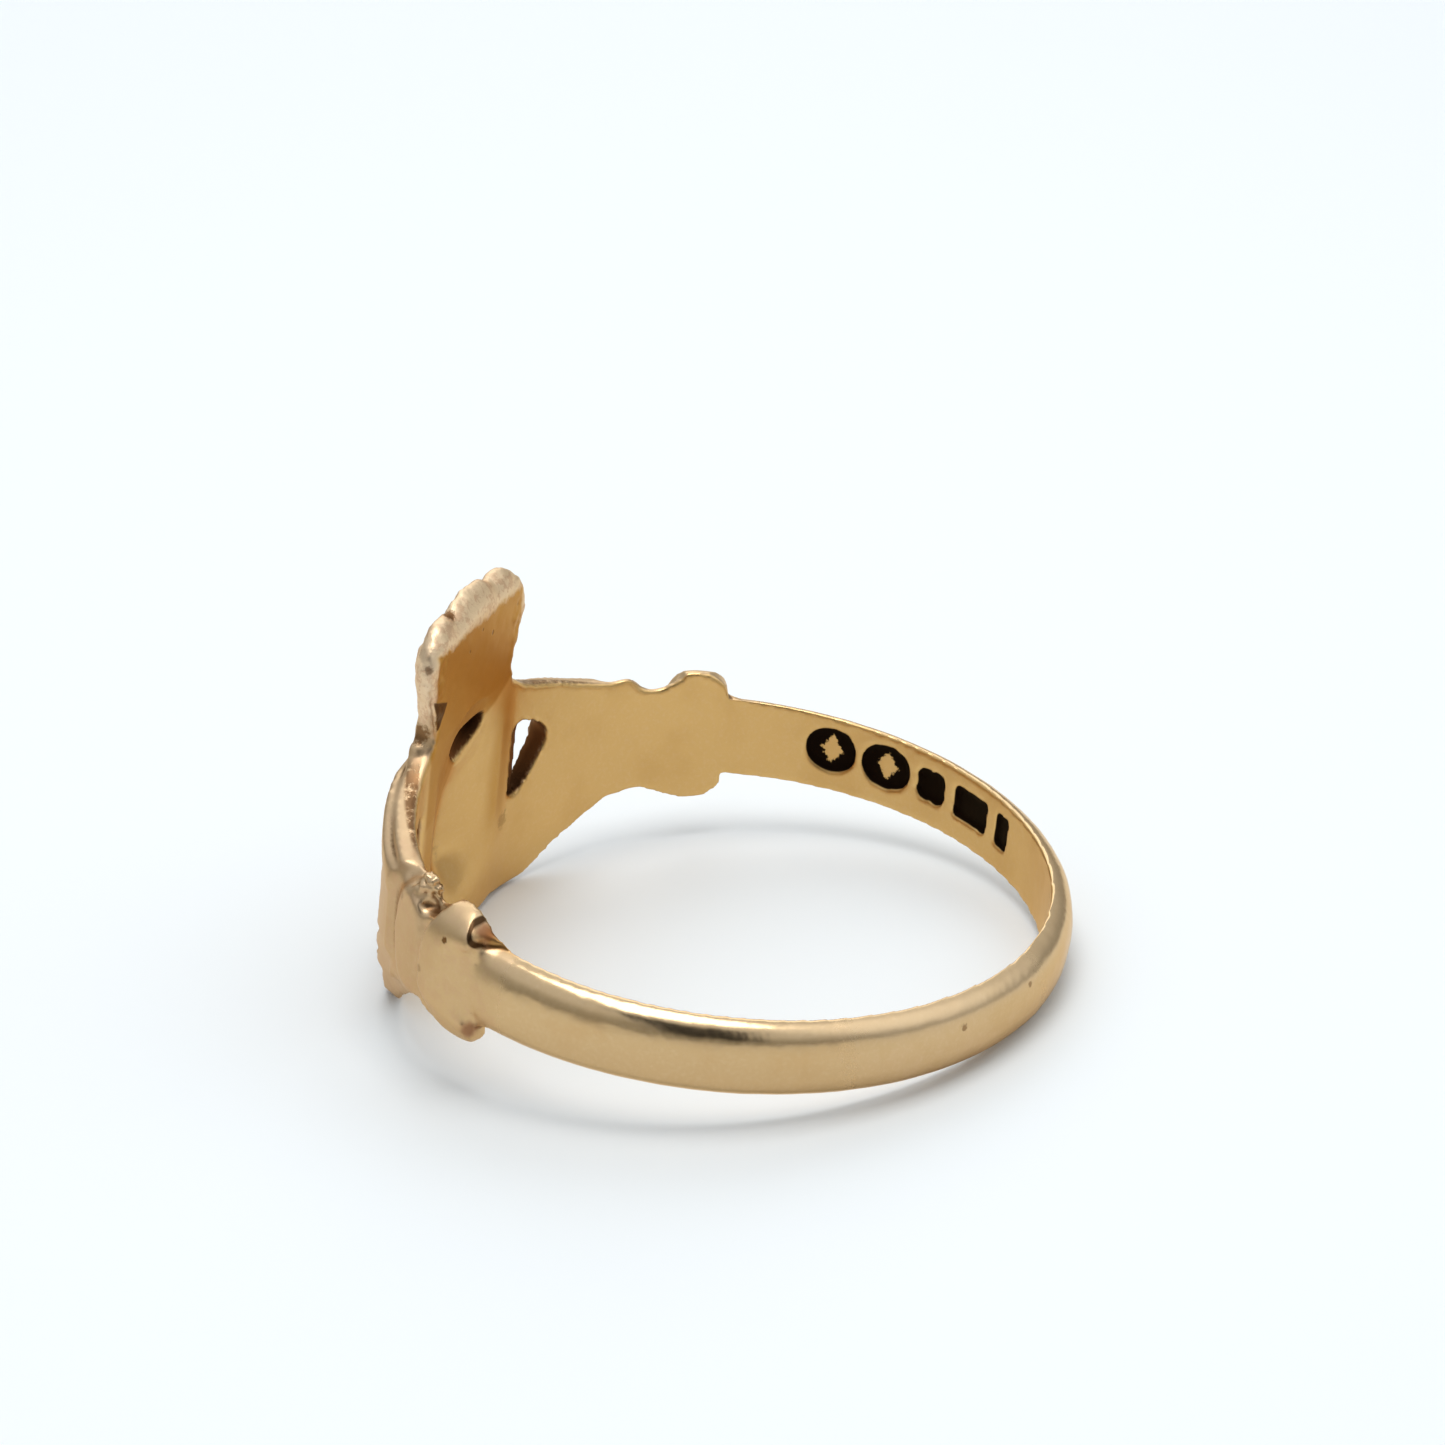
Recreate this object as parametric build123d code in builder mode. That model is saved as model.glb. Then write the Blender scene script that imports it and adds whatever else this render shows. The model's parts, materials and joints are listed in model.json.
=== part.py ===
from build123d import *
import os
from math import atan2, cos, degrees, radians, sin

os.makedirs("parts", exist_ok=True)

# A claddagh ring, cast in one piece. It is drawn round the Z axis with its head towards -Y,
# and then tipped back so that it lies on its side as the ring in the photo does.

# Finger hole
inner_radius = 9.0
plate_set_in = 1.05          # how far the flat plate behind the head stands inside the circle
plate_half_width = 3.0
shoulder_angle = 52.0        # where the round hole turns into the flatter shoulder

# Walls, measured outwards from the finger hole
wall = 0.62
lip = 0.24                   # the thin inner part of the wall, which keeps the full outline
hand_wall = 0.84
thumb_wall = 0.92
finger_wall = 0.78
frill_wall = 0.80
cuff_wall = 1.05
crown_wall = 0.86
crown_depth = 0.70           # from the plate's inner face to the crown's outer face

# Band
band_thickness = 0.72
band_height_back = 2.1
band_height_cuff = 2.46
band_bow = 0.14              # how much the outside bulges between its rounded edges
band_edge_round = 0.34

# Cuffs and frills, on a plane that faces cuff_angle
cuff_angle = 60.0
cuff_half_width = 1.24
cuff_top = 1.98
cuff_bottom = 2.14
cuff_bulge = 0.42            # the cuff's edge bulges towards the hand
cuff_run = 0.10              # from this place on the cuff slopes down to the band's face
cuff_web = 0.60              # a thin web runs on from the cuff's top along the band's edge
frill_angle = 48.5
frill_half_width = 0.50
frill_pad_width = 0.82
frill_top = 1.86
frill_bottom = 2.06
knob_angle = 51.5
knob_height = 1.72
knob_radius = 0.48
knob_out = 0.22              # how far the knob's centre stands outside the finger hole
wrist_top = 1.49
wrist_bottom = 1.91
edge_inset = 0.30            # the outer part of the wrist stops this far inside its outline

# Hands
hand_rise = 2.9              # top of the hand beside the crown
head_drop = 4.12             # lowest point of the hands
tip_drop = 4.05
hand_rim = 0.30              # plain edge round the raised back of the hand
finger_width = 0.54
bevel_rise = 1.30            # the hands' lower edge slopes up by this much through the wall

# Heart
heart_half_width = 3.2
heart_lobe_x = 1.6
heart_lobe_top = 2.98
heart_cleft = 1.5
heart_stand = 1.80           # from the plate's inner face to the top of the dome
dome_radius = 6.8
dome_drop = 0.45
heart_wall = 0.80            # the heart's rim
hollow_depth = 0.92
hollow_half_width = 2.5
hollow_floor = 1.02          # half width of the flat floor round the cleft opening
hollow_top = 3.2
hollow_bottom = 3.0

# Crown
crown_neck = 2.58
crown_half_width = 3.1
crown_neck_height = 3.45
crown_corner = 6.2
crown_peak = 6.93
crown_bevel = 0.62           # the rim behind the points slopes down to the inner face
crown_side_bevel = 0.3
crown_gap_x = 1.2
crown_gap_depth = 0.18
crown_bar_bottom = 2.75
crown_bar_top = 3.55
crown_bar_width = 4.4
crown_ridge = 0.5
petal_middle_width = 0.78     # half widths of the crown's petals
petal_side_width = 0.52

# Openings
cleft_half_width = 1.0
cleft_top = 2.52
cleft_bottom = 1.55
slot_angle = 30.0
slot_ledge = 0.28
slot_ledge_width = 0.40

# Stamped marks inside the band: shape, angle from the head, width, height
stamp_depth = 0.13
stamp_height = 0.13
stamps = [
    ("oval", 88.2, 1.55, 1.46),
    ("oval", 99.5, 1.62, 1.42),
    ("lobes", 109.7, 1.2, 1.05),
    ("block", 120.0, 1.42, 1.02),
    ("block", 129.5, 0.66, 1.05),
]

plate_depth = inner_radius - plate_set_in
shoulder_reach = inner_radius * sin(radians(shoulder_angle))
hand_span = shoulder_reach - plate_half_width
far = 2 * inner_radius


def facing(psi):
    """A plane through the ring's axis that looks out at the angle psi from the head."""
    side = (cos(radians(psi)), sin(radians(psi)), 0)
    out = (sin(radians(psi)), -cos(radians(psi)), 0)
    return Plane(origin=(0, 0, 0), x_dir=side, z_dir=out)


# Outline of the finger hole: round at the back, flatter at the shoulders, flat behind the head
with BuildSketch() as hole_plan:
    with BuildLine():
        back = CenterArc((0, 0), inner_radius, shoulder_angle - 90, 360 - 2 * shoulder_angle)
        left = TangentArc(back @ 1, (-plate_half_width, -plate_depth), tangent=back % 1)
        right = TangentArc(back @ 0, (plate_half_width, -plate_depth), tangent=(back % 0) * -1)
        Line(left @ 1, right @ 1)
    make_face()


def ring_wall(thickness):
    """A wall of even thickness all round the finger hole, taller than the ring."""
    with BuildPart() as tube:
        with BuildSketch():
            add(hole_plan.sketch)
            offset(amount=thickness)
            add(hole_plan.sketch, mode=Mode.SUBTRACT)
        extrude(amount=inner_radius, both=True)
    return tube.part


# Edge of the hands from beside the crown to the wrist:
# place along the hand, height of the top edge and depth of the bottom edge, all as shares
hand_edge = [
    (0.00, 1.000, 0.988),
    (0.10, 0.903, 0.995),
    (0.245, 0.820, 0.990),
    (0.465, 0.741, 0.876),
    (0.65, 0.660, 0.728),
    (0.86, 0.600, 0.540),
]


def hand_point(row, side, inset=0.0):
    along, top, bottom = row
    x = plate_half_width + along * hand_span
    return (x, top * hand_rise - inset) if side > 0 else (x, -bottom * head_drop + inset)


def mirrored(points):
    return [(-x, z) for x, z in reversed(points)]


# Front outline of hands and heart in one sheet
with BuildPart() as head_sheet:
    add(ring_wall(wall))
    with BuildSketch(facing(0)):
        with BuildLine():
            top = [hand_point(row, 1) for row in hand_edge]
            low = [hand_point(row, -1) for row in reversed(hand_edge)]
            low += [(plate_half_width * 0.72, -0.985 * head_drop)]
            Line(top[-1], low[0])
            Spline(low)
            Spline(low[-1], (0, -tip_drop), (-low[-1][0], low[-1][1]))
            Spline(mirrored(low))
            Line(mirrored(low)[-1], mirrored(top)[0])
            Spline(mirrored(top))
            Line(mirrored(top)[-1], top[0])
            Spline(top)
        make_face()
    extrude(amount=far, mode=Mode.INTERSECT)

# Crown: narrower and taller on its outer face than behind, with small gaps between its points
def crown_face(distance, half_width, corner_height, peak, gap_depth):
    """Outline of the crown on a plane in front of the ring's axis."""
    with BuildSketch(facing(0).offset(distance)) as face:
        with BuildLine():
            foot = (plate_half_width * 0.9, 0.5 * hand_rise)
            base = (plate_half_width * 0.99, 0.985 * hand_rise)
            neck = (crown_neck, crown_neck_height)
            corner = (half_width * 0.93, corner_height)
            shoulder = (half_width * 0.80, (corner_height + peak) / 2 - 0.02)
            gap_out = (crown_gap_x + 0.22, peak - 0.26)
            gap = (crown_gap_x, peak - 0.20 - gap_depth)
            gap_in = (crown_gap_x - 0.20, peak - 0.13)
            side = [base, neck, (half_width, (crown_neck_height + corner_height) / 2 + 0.35), corner]
            rim = [gap_out, gap, gap_in]
            Line(foot, base)
            Spline(side)
            ThreePointArc(corner, shoulder, gap_out)
            Polyline(rim)
            ThreePointArc(gap_in, (0, peak), (-gap_in[0], gap_in[1]))
            Polyline(mirrored(rim))
            ThreePointArc((-gap_out[0], gap_out[1]), (-shoulder[0], shoulder[1]), (-corner[0], corner[1]))
            Spline(mirrored(side))
            Line((-base[0], base[1]), (-foot[0], foot[1]))
            Line((-foot[0], foot[1]), foot)
        make_face()
    return face.sketch


with BuildPart() as crown:
    add(crown_face(plate_depth, crown_half_width, crown_corner - crown_bevel * 0.6,
                   crown_peak - crown_bevel, 0.02))
    add(crown_face(plate_depth + 0.45 * crown_depth, crown_half_width, crown_corner,
                   crown_peak - crown_bevel * 0.2, 0.35 * crown_gap_depth))
    add(crown_face(plate_depth + crown_depth, crown_half_width - crown_side_bevel, crown_corner,
                   crown_peak, crown_gap_depth))
    loft()

# Cuff, frill and wrist on one side, as an outline on the plane that faces the cuff
cuff_plane = facing(cuff_angle)

frill_place = inner_radius * sin(radians(frill_angle - cuff_angle))
wrist_place = (frill_place + frill_half_width - cuff_half_width) / 2
wrist_start = frill_place - frill_half_width


def wrist_layer(thickness, inset, web):
    """One layer of the wrist: inset is how far its outline stands inside the full one."""
    with BuildPart() as layer:
        add(ring_wall(thickness))
        with BuildSketch(cuff_plane):
            with BuildLine():
                start_top = (wrist_start - 0.9, 0.62 * hand_rise - inset)
                start_low = (wrist_start - 0.9, inset - 0.62 * head_drop)
                cuff_high = (cuff_half_width * 0.88, cuff_top * 0.80 - inset)
                cuff_low = (cuff_half_width * 0.88, inset - cuff_bottom * 0.80)
                Spline(
                    start_top,
                    (wrist_start, (0.58 * hand_rise + frill_top) / 2 - inset),
                    (frill_place, frill_top - inset),
                    (wrist_place, wrist_top - inset),
                    (0.1, cuff_top * 0.95 - inset),
                    cuff_high,
                )
                Polyline(cuff_high, (cuff_half_width + web, band_height_cuff / 2 - inset / 2),
                         (cuff_half_width, inset / 2 - band_height_cuff / 2), cuff_low)
                Spline(
                    cuff_low,
                    (0.1, inset - cuff_bottom),
                    (wrist_place, inset - wrist_bottom),
                    (frill_place, inset - frill_bottom),
                    (wrist_start, inset - frill_bottom),
                    start_low,
                )
                Line(start_low, start_top)
            make_face()
        extrude(amount=far, mode=Mode.INTERSECT)
    return layer.part


with BuildPart() as wrist:
    add(wrist_layer(lip, 0, cuff_web))
    add(wrist_layer(wall, edge_inset, 0))

# Raised pad of the cuff: domed from edge to edge, straight towards the band and bulging
# towards the hand. Each row of the dome is a share of the wall and a height.
cuff_dome = [
    (0.0, cuff_top),
    (0.36, cuff_top * 0.97),
    (0.70, cuff_top * 0.84),
    (0.95, cuff_top * 0.50),
    (1.0, 0.0),
    (0.95, -cuff_bottom * 0.40),
    (0.70, -cuff_bottom * 0.66),
    (0.36, -cuff_bottom * 0.89),
    (0.0, -cuff_bottom),
]

with BuildPart() as cuff_pad:
    with BuildSketch(Plane.XZ):
        with BuildLine():
            dome = Spline([(inner_radius + share * cuff_wall, height) for share, height in cuff_dome])
            Polyline(dome @ 1, (inner_radius - lip, -cuff_bottom), (inner_radius - lip, cuff_top), dome @ 0)
        make_face()
    revolve(axis=Axis.Z)
    with BuildSketch(cuff_plane):
        with BuildLine():
            pad_top = (-0.05, cuff_top)
            pad_low = (-0.05, -cuff_bottom)
            edge_top = (cuff_half_width, cuff_top * 0.74)
            edge_low = (cuff_half_width, -cuff_bottom * 0.74)
            ThreePointArc(edge_top, (cuff_half_width * 0.60, cuff_top * 0.96), pad_top)
            ThreePointArc(pad_top, (-0.25 - cuff_bulge, 0.1), pad_low)
            ThreePointArc(pad_low, (cuff_half_width * 0.60, -cuff_bottom * 0.96), edge_low)
            Line(edge_low, edge_top)
        make_face()
    extrude(amount=far, mode=Mode.INTERSECT)
    with BuildSketch():
        add(hole_plan.sketch)
    extrude(amount=inner_radius, both=True, mode=Mode.SUBTRACT)
    # Between the band's edges the pad slopes down to the band's face
    with BuildSketch(Plane(origin=(0, 0, 0), x_dir=cuff_plane.x_dir, z_dir=(0, 0, 1))):
        with BuildLine():
            crest = inner_radius + cuff_wall * 1.02
            foot = inner_radius + wall * 0.9
            run_end = cuff_half_width * 1.1
            Polyline((cuff_run, -crest), (run_end, -foot), (run_end, -far), (cuff_run, -far), close=True)
        make_face()
    extrude(amount=band_height_cuff * 0.45, both=True, mode=Mode.SUBTRACT)

# Frill between the wrist and the cuff
with BuildPart() as frill:
    add(ring_wall(frill_wall))
    with BuildSketch(cuff_plane):
        with Locations((frill_place, (frill_top - frill_bottom) / 2 + edge_inset / 2)):
            Ellipse(frill_pad_width, (frill_top + frill_bottom) / 2 - 1.5 * edge_inset)
    extrude(amount=far, mode=Mode.INTERSECT)

# Knob on the edge of one frill, on the +X side only
with BuildPart() as knob:
    knob_reach = inner_radius + knob_out
    with Locations((knob_reach * sin(radians(knob_angle)), -knob_reach * cos(radians(knob_angle)), knob_height)):
        Sphere(knob_radius)
    with BuildSketch():
        add(hole_plan.sketch)
    extrude(amount=inner_radius, both=True, mode=Mode.SUBTRACT)

# Back of the hand, raised inside a plain rim
with BuildPart() as hand_back:
    add(ring_wall(hand_wall))
    with BuildSketch(facing(0)):
        with BuildLine():
            top = [hand_point(row, 1, hand_rim) for row in hand_edge[3:]]
            low = [hand_point(row, -1, hand_rim) for row in reversed(hand_edge[3:])]
            Spline(top)
            Line(top[-1], low[0])
            Spline(low)
            ThreePointArc(low[-1], (low[-1][0] + 0.2, 0), top[0])
        make_face()
    extrude(amount=far, mode=Mode.INTERSECT)

# Thumb over the side opening and three fingers under it, each lying towards the heart
finger_lines = [
    ((0.80, 0.34), (0.28, 0.66), (-0.30, 0.80)),
    ((0.66, -0.20), (0.20, -0.36), (-0.15, -0.42)),
    ((0.66, -0.34), (0.16, -0.53), (-0.24, -0.57)),
    ((0.60, -0.48), (0.10, -0.70), (-0.36, -0.72)),
]


def finger_point(along, height):
    drop = hand_rise if height > 0 else head_drop
    return (plate_half_width + along * hand_span, height * drop)


finger_arcs = [ThreePointArc(*[finger_point(*point) for point in line]) for line in finger_lines]

with BuildPart() as fingers:
    add(ring_wall(finger_wall))
    with BuildSketch(facing(0)):
        for arc in finger_arcs[1:]:
            SlotArc(arc, height=finger_width)
    extrude(amount=far, mode=Mode.INTERSECT)

with BuildPart() as thumb:
    add(ring_wall(thumb_wall))
    with BuildSketch(facing(0)):
        SlotArc(finger_arcs[0], height=finger_width)
    extrude(amount=far, mode=Mode.INTERSECT)

# Heart: a domed front that stands on the plate, over a plain rim
def heart_block(amount):
    """The heart's outline drawn out from the plate by the amount."""
    with BuildPart() as block:
        with BuildSketch(facing(0).offset(plate_depth)):
            with BuildLine():
                half = [
                    (0, heart_cleft),
                    (heart_lobe_x * 0.42, heart_lobe_top * 0.84),
                    (heart_lobe_x, heart_lobe_top),
                    (heart_half_width * 0.86, heart_lobe_top * 0.80),
                    (heart_half_width, heart_cleft * 0.72),
                    (heart_half_width * 0.80, -tip_drop * 0.38),
                    (heart_half_width * 0.34, -tip_drop * 0.80),
                    (0, -tip_drop),
                ]
                Spline(half)
                Spline(mirrored(half))
            make_face()
        extrude(amount=amount)
    return block.part


with BuildPart() as heart:
    add(heart_block(heart_stand))
    with Locations((0, -(plate_depth + heart_stand - dome_radius), -dome_drop)):
        Sphere(dome_radius, mode=Mode.INTERSECT)
    add(heart_block(heart_wall))

# Relief of the crown: a bar at its foot and three petals that stand on it.
# Each petal's outline goes round from its foot: share of its length, share of its half width
petal_rows = [
    (0.0, 0.0),
    (0.30, 0.55),
    (0.70, 1.0),
    (0.93, 0.62),
    (1.0, 0.0),
    (0.93, -0.62),
    (0.70, -1.0),
    (0.30, -0.55),
]
petal_foot = crown_bar_top - crown_ridge / 2
side_foot = (crown_bar_width - crown_ridge) / 2
side_head = crown_half_width - crown_side_bevel - 0.85 * petal_side_width
side_top = crown_corner - crown_ridge * 0.3
petals = [
    (Vector(0, petal_foot), Vector(0, crown_peak - crown_ridge * 0.7), petal_middle_width),
    (Vector(side_foot * 0.72, petal_foot), Vector(side_head, side_top), petal_side_width),
    (Vector(-side_foot * 0.72, petal_foot), Vector(-side_head, side_top), petal_side_width),
]

with BuildPart() as crown_relief:
    with BuildSketch(facing(0).offset(plate_depth + crown_depth / 2)):
        with Locations((0, (crown_bar_bottom + crown_bar_top) / 2)):
            Rectangle(crown_bar_width, crown_bar_top - crown_bar_bottom)
        for foot, head, half_width in petals:
            length = head - foot
            across = Vector(length.Y, -length.X).normalized() * half_width
            with BuildLine():
                Spline([foot + length * share + across * side for share, side in petal_rows], periodic=True)
            make_face()
    extrude(amount=crown_wall - crown_depth / 2)

# Band: a D-shaped section, flat inside, which grows a little from the back to the cuffs
band_end = cuff_angle + degrees(atan2(cuff_half_width, inner_radius)) - 2.0
band_rows = [(band_end, band_height_cuff), (180.0, band_height_back), (360 - band_end, band_height_cuff)]
band_path = CenterArc((0, 0), inner_radius, band_end - 90, 360 - 2 * band_end)


def band_face(psi, height):
    """D-shaped section of the band at the angle psi from the head."""
    out = Vector(sin(radians(psi)), -cos(radians(psi)), 0)
    along = Vector(cos(radians(psi)), sin(radians(psi)), 0)
    with BuildSketch(Plane(origin=out * inner_radius, x_dir=out, z_dir=along * -1)) as face:
        with BuildLine():
            half = height / 2
            thick = band_thickness - band_bow
            turn = band_edge_round
            corner_x = thick - turn * 0.30
            Line((0, -half), (0, half))
            Line((0, half), (thick - turn, half))
            ThreePointArc((thick - turn, half), (corner_x, half - turn * 0.30), (thick, half - turn))
            ThreePointArc((thick, half - turn), (band_thickness, 0), (thick, turn - half))
            ThreePointArc((thick, turn - half), (corner_x, turn * 0.30 - half), (thick - turn, -half))
            Line((thick - turn, -half), (0, -half))
        make_face()
    return face.sketch


band_faces = [band_face(*row) for row in band_rows]
with BuildPart() as band:
    sweep(sections=band_faces, path=band_path, multisection=True)

# Hollow behind the heart: a valley with a flat floor round the cleft opening, deepest low down.
# Rows: height, half width at the plate, half width of the floor, depth
hollow_rows = [
    (hollow_top, 0.54 * hollow_half_width, hollow_floor, 0.03 * hollow_depth),
    (0.80 * hollow_top, 0.86 * hollow_half_width, hollow_floor, 0.40 * hollow_depth),
    (0.47 * hollow_top, 0.98 * hollow_half_width, 0.05, 0.49 * hollow_depth),
    (-0.28 * hollow_bottom, hollow_half_width, 0.05, 0.98 * hollow_depth),
    (-0.60 * hollow_bottom, 0.78 * hollow_half_width, 0.05, hollow_depth),
    (-hollow_bottom, 0.10 * hollow_half_width, 0.05, 0.03 * hollow_depth),
]
behind = 0.2

with BuildPart() as hollow:
    for height, half, floor, depth in hollow_rows:
        with BuildSketch(Plane.XY.offset(height)):
            with BuildLine():
                Polyline((half, -plate_depth), (floor, -plate_depth - depth),
                         (-floor, -plate_depth - depth), (-half, -plate_depth),
                         (-half, behind - plate_depth), (half, behind - plate_depth), close=True)
            make_face()
    loft(ruled=True)

# Side opening: its outer edge slants in towards the bottom, and a ledge lies beside the heart
slot_plane = facing(slot_angle)
slot_in = plate_half_width * cos(radians(slot_angle)) - plate_depth * sin(radians(slot_angle))
slot_outer = [(0.42, 1.36), (1.20, 1.04), (1.60, 0.62), (1.34, -0.02), (0.62, -0.92), (0.34, -1.14)]


def slot_cut(inner_edge, start, amount):
    """Prism of the side opening, whose edge beside the heart stands at inner_edge."""
    with BuildPart() as prism:
        with BuildSketch(slot_plane.offset(start)):
            with BuildLine():
                outer = [(slot_in + place, height) for place, height in slot_outer]
                low = (slot_in + inner_edge, -0.92)
                high = (slot_in + inner_edge, 1.20)
                curve = Spline(outer)
                Polyline(curve @ 1, low, high, curve @ 0)
            make_face()
        extrude(amount=amount)
    return prism.part


slot_face = plate_depth * cos(radians(slot_angle)) + plate_half_width * sin(radians(slot_angle))
with BuildPart() as side_slot:
    add(slot_cut(slot_ledge_width, slot_face - 2, 2 + 3 * wall))
    add(slot_cut(0.04, slot_face - 2, 2 + slot_ledge))

# Cleft opening between the heart's lobes and the crown's bar
with BuildPart() as cleft_hole:
    with BuildSketch(facing(0).offset(plate_depth * 0.8)):
        with BuildLine():
            Polyline((-cleft_half_width, cleft_top), (cleft_half_width, cleft_top), (0, cleft_bottom), close=True)
        make_face()
    extrude(amount=inner_radius * 0.6)

# Stamped marks: plain sunk shapes
with BuildPart() as marks:
    for shape, angle, width, height in stamps:
        with BuildSketch(facing(-angle).offset(inner_radius - 0.4)):
            with Locations((0, stamp_height)):
                if shape == "oval":
                    Ellipse(width / 2, height / 2)
                elif shape == "lobes":
                    with PolarLocations(width * 0.22, 4, 45):
                        Circle(width * 0.28)
                else:
                    RectangleRounded(width, height, 0.12)
        extrude(amount=0.4 + stamp_depth)

# Lower edge of the hands: the wall slopes up and outwards from the inner face
bevel_rows = [(0.29, 1.0), (0.83, 0.57)]      # place along the hand, share of the drop
bevel_lip = 0.2              # the slope starts this far outside the inner face


def hole_depth(x):
    """Distance from the ring's axis to the shoulder's inner face at the side place x."""
    arc = right.arc_center
    return -arc.Y + (right.radius ** 2 - (x - arc.X) ** 2) ** 0.5


def bevel_point(along, share):
    x = plate_half_width + along * hand_span
    return Vector(x, -hole_depth(x) - bevel_lip, -share * head_drop)


low_end, high_end = [bevel_point(*row) for row in bevel_rows]
run = high_end - low_end
slope = Vector(run.Y, -run.X, 0).normalized() * wall + Vector(0, 0, bevel_rise)
with BuildPart() as bevel:
    with BuildSketch(Plane(origin=low_end, x_dir=run, z_dir=run.cross(slope))):
        Rectangle(far, far)
    extrude(amount=head_drop)

# The whole casting, upright round its axis
with BuildPart() as hand_forms:
    add(head_sheet.part)
    for piece in (hand_back, fingers, thumb):
        add(piece.part)
        add(mirror(piece.part, about=Plane.YZ))
    add(bevel.part, mode=Mode.SUBTRACT)
    add(mirror(bevel.part, about=Plane.YZ), mode=Mode.SUBTRACT)

with BuildPart() as upright:
    add(hand_forms.part)
    for piece in (wrist, frill, cuff_pad):
        add(piece.part)
        add(mirror(piece.part, about=Plane.YZ))
    for piece in (knob, crown, crown_relief, heart, band):
        add(piece.part)
    add(hollow.part, mode=Mode.SUBTRACT)
    add(cleft_hole.part, mode=Mode.SUBTRACT)
    add(side_slot.part, mode=Mode.SUBTRACT)
    add(mirror(side_slot.part, about=Plane.YZ), mode=Mode.SUBTRACT)
    add(marks.part, mode=Mode.SUBTRACT)

# At rest the ring lies on the lowest points of its hands and on the band's back edge
rest_run = hole_depth(plate_half_width) + inner_radius + band_thickness / 2
rest_rise = head_drop - band_height_back / 2
rest_tilt = degrees(atan2(rest_rise, rest_run))
lying = upright.part.rotate(Axis.X, -rest_tilt)
box = lying.bounding_box()
claddagh_ring = lying.moved(Location((0, -(box.min.Y + box.max.Y) / 2, -box.min.Z)))
claddagh_ring.label = "claddagh_ring"
export_step(claddagh_ring, "parts/claddagh_ring.step")
print("tilt", rest_tilt, "shift", -(box.min.Y + box.max.Y) / 2, -box.min.Z)
print("ring", claddagh_ring.volume, claddagh_ring.is_valid, len(claddagh_ring.solids()), box.size)
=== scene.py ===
import json
from math import cos, radians, sin
import bpy
import numpy as np
from mathutils import Matrix, Vector, noise


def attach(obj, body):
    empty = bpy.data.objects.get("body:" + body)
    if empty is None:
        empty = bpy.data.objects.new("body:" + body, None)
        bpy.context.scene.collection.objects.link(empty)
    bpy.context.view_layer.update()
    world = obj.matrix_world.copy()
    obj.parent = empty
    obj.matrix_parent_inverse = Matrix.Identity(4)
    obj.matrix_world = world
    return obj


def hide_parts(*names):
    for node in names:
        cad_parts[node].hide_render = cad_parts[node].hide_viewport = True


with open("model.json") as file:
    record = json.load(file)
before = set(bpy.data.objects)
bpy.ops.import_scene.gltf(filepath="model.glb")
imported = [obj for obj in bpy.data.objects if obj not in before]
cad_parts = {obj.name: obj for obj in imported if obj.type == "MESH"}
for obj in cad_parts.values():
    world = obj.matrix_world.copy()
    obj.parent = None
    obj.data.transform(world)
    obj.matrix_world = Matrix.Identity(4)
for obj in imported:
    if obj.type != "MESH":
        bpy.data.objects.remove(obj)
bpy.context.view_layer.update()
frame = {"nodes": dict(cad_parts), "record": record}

millimetre = 0.001

# The ring's own frame: millimetres round its axis with the head towards -Y, from the record's finger hole
hole = next(mount for mount in frame["record"]["mounts"] if mount["name"] == "finger_hole")
holeRadius = hole["dims"]["r_mm"]
ringCentre = np.array(hole["pos_m"])
ringUp = Vector(hole["axis"]).normalized()
ringSide = Vector((1, 0, 0))
ringTurn = np.array((ringSide, ringUp.cross(ringSide), ringUp))


def toRing(points):
    return (points - ringCentre) @ ringTurn.T / millimetre


def fromRing(points):
    return points * millimetre @ ringTurn + ringCentre


def shade(red, green, blue):
    return tuple(((c / 255 + 0.055) / 1.055) ** 2.4 for c in (red, green, blue)) + (1.0,)


class Field:  # a shader socket that sums can be written with
    def __init__(self, paint, socket):
        self.paint = paint
        self.socket = socket

    def __add__(self, other):
        return self.paint.sums("ADD", self, other)

    def __radd__(self, other):
        return self.paint.sums("ADD", other, self)

    def __sub__(self, other):
        return self.paint.sums("SUBTRACT", self, other)

    def __rsub__(self, other):
        return self.paint.sums("SUBTRACT", other, self)

    def __mul__(self, other):
        return self.paint.sums("MULTIPLY", self, other)

    def __rmul__(self, other):
        return self.paint.sums("MULTIPLY", other, self)

    def __pow__(self, other):
        return self.paint.sums("POWER", self, other)


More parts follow.
